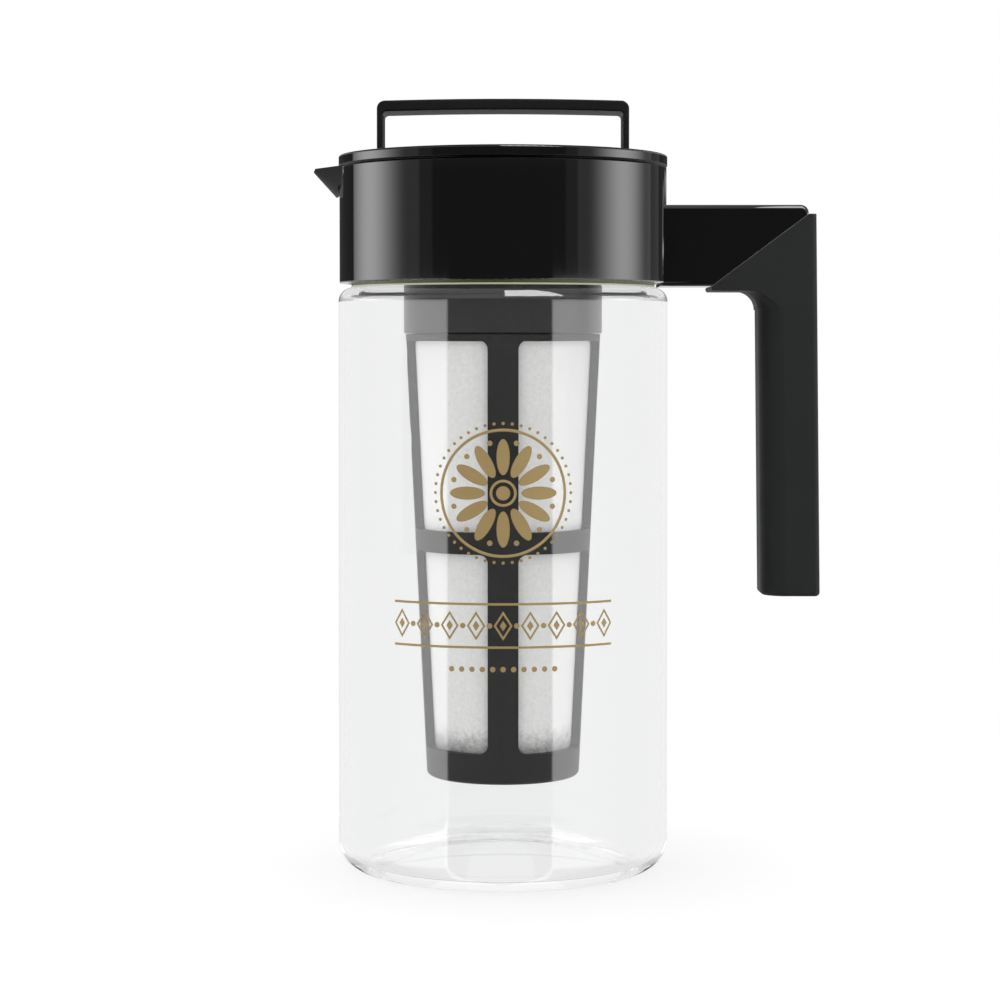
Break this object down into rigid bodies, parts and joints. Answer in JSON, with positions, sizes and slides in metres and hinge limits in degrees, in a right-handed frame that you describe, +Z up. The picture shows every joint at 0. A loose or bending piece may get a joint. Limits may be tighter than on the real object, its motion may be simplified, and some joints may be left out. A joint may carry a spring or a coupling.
{
  "type": "cold brew coffee maker",
  "caption": "Tall clear jug with a black collar, pouring beak and side handle, closed by a rotary lid that carries a long mesh filter for steeping coffee.",
  "frame": {"origin": "on the jug's axis, in the plane of the foot it stands on", "axes": "+Z up along the jug's axis, +X towards the side handle, -X towards the beak"},
  "size_m": [0.1527, 0.1, 0.2325],
  "materials": {
    "clear_jug": "clear and polished",
    "gloss_black": "high gloss",
    "soft_black": "soft touch, matt",
    "olive_seal": "smooth silicone",
    "pale_silicone": "smooth translucent silicone",
    "stopper_black": "satin moulded",
    "filter_black": "satin moulded",
    "white_mesh": "fine woven filter mesh",
    "core_plastic": "plain moulded",
    "screw_steel": "plain zinc"
  },
  "bodies": {
    "jug": {"jug_body": "clear_jug", "neck_seal": "olive_seal", "neck_liner": "stopper_black", "collar": "gloss_black", "handle_core": "core_plastic", "handle_screws": "screw_steel", "handle_grip": "soft_black"},
    "stopper": {"lid_plug": "stopper_black", "inlet_plate": "stopper_black", "filter_socket": "stopper_black", "upper_gasket": "pale_silicone", "lower_gasket": "pale_silicone"},
    "lid": {"lid_cover": "gloss_black", "shutter_ring": "stopper_black", "lid_handle": "gloss_black"},
    "washer": {"filter_washer": "pale_silicone"},
    "filter": {"filter_frame": "filter_black", "upper_mesh": "white_mesh", "lower_mesh": "white_mesh"}
  },
  "joints": [
    {"name": "stopper_lift", "type": "slide", "parent": "jug", "child": "stopper", "axis": [0, 0, 1], "range_m": [0, 0.19]},
    {"name": "lid_twist", "type": "hinge", "parent": "stopper", "child": "lid", "pos_m": [0, 0, 0.2122], "axis": [0, 0, 1], "range_deg": [0, 90]},
    {"name": "filter_drop", "type": "slide", "parent": "stopper", "child": "washer", "axis": [0, 0, -1], "range_m": [0, 0.004]},
    {"name": "filter_turn", "type": "hinge", "parent": "washer", "child": "filter", "pos_m": [0, 0, 0.1698], "axis": [0, 0, -1], "range_deg": [0, 450]}
  ],
  "couplings": [
    {"joint": "filter_drop", "follows": "filter_turn", "m_per_rad": 0.000509}
  ]
}
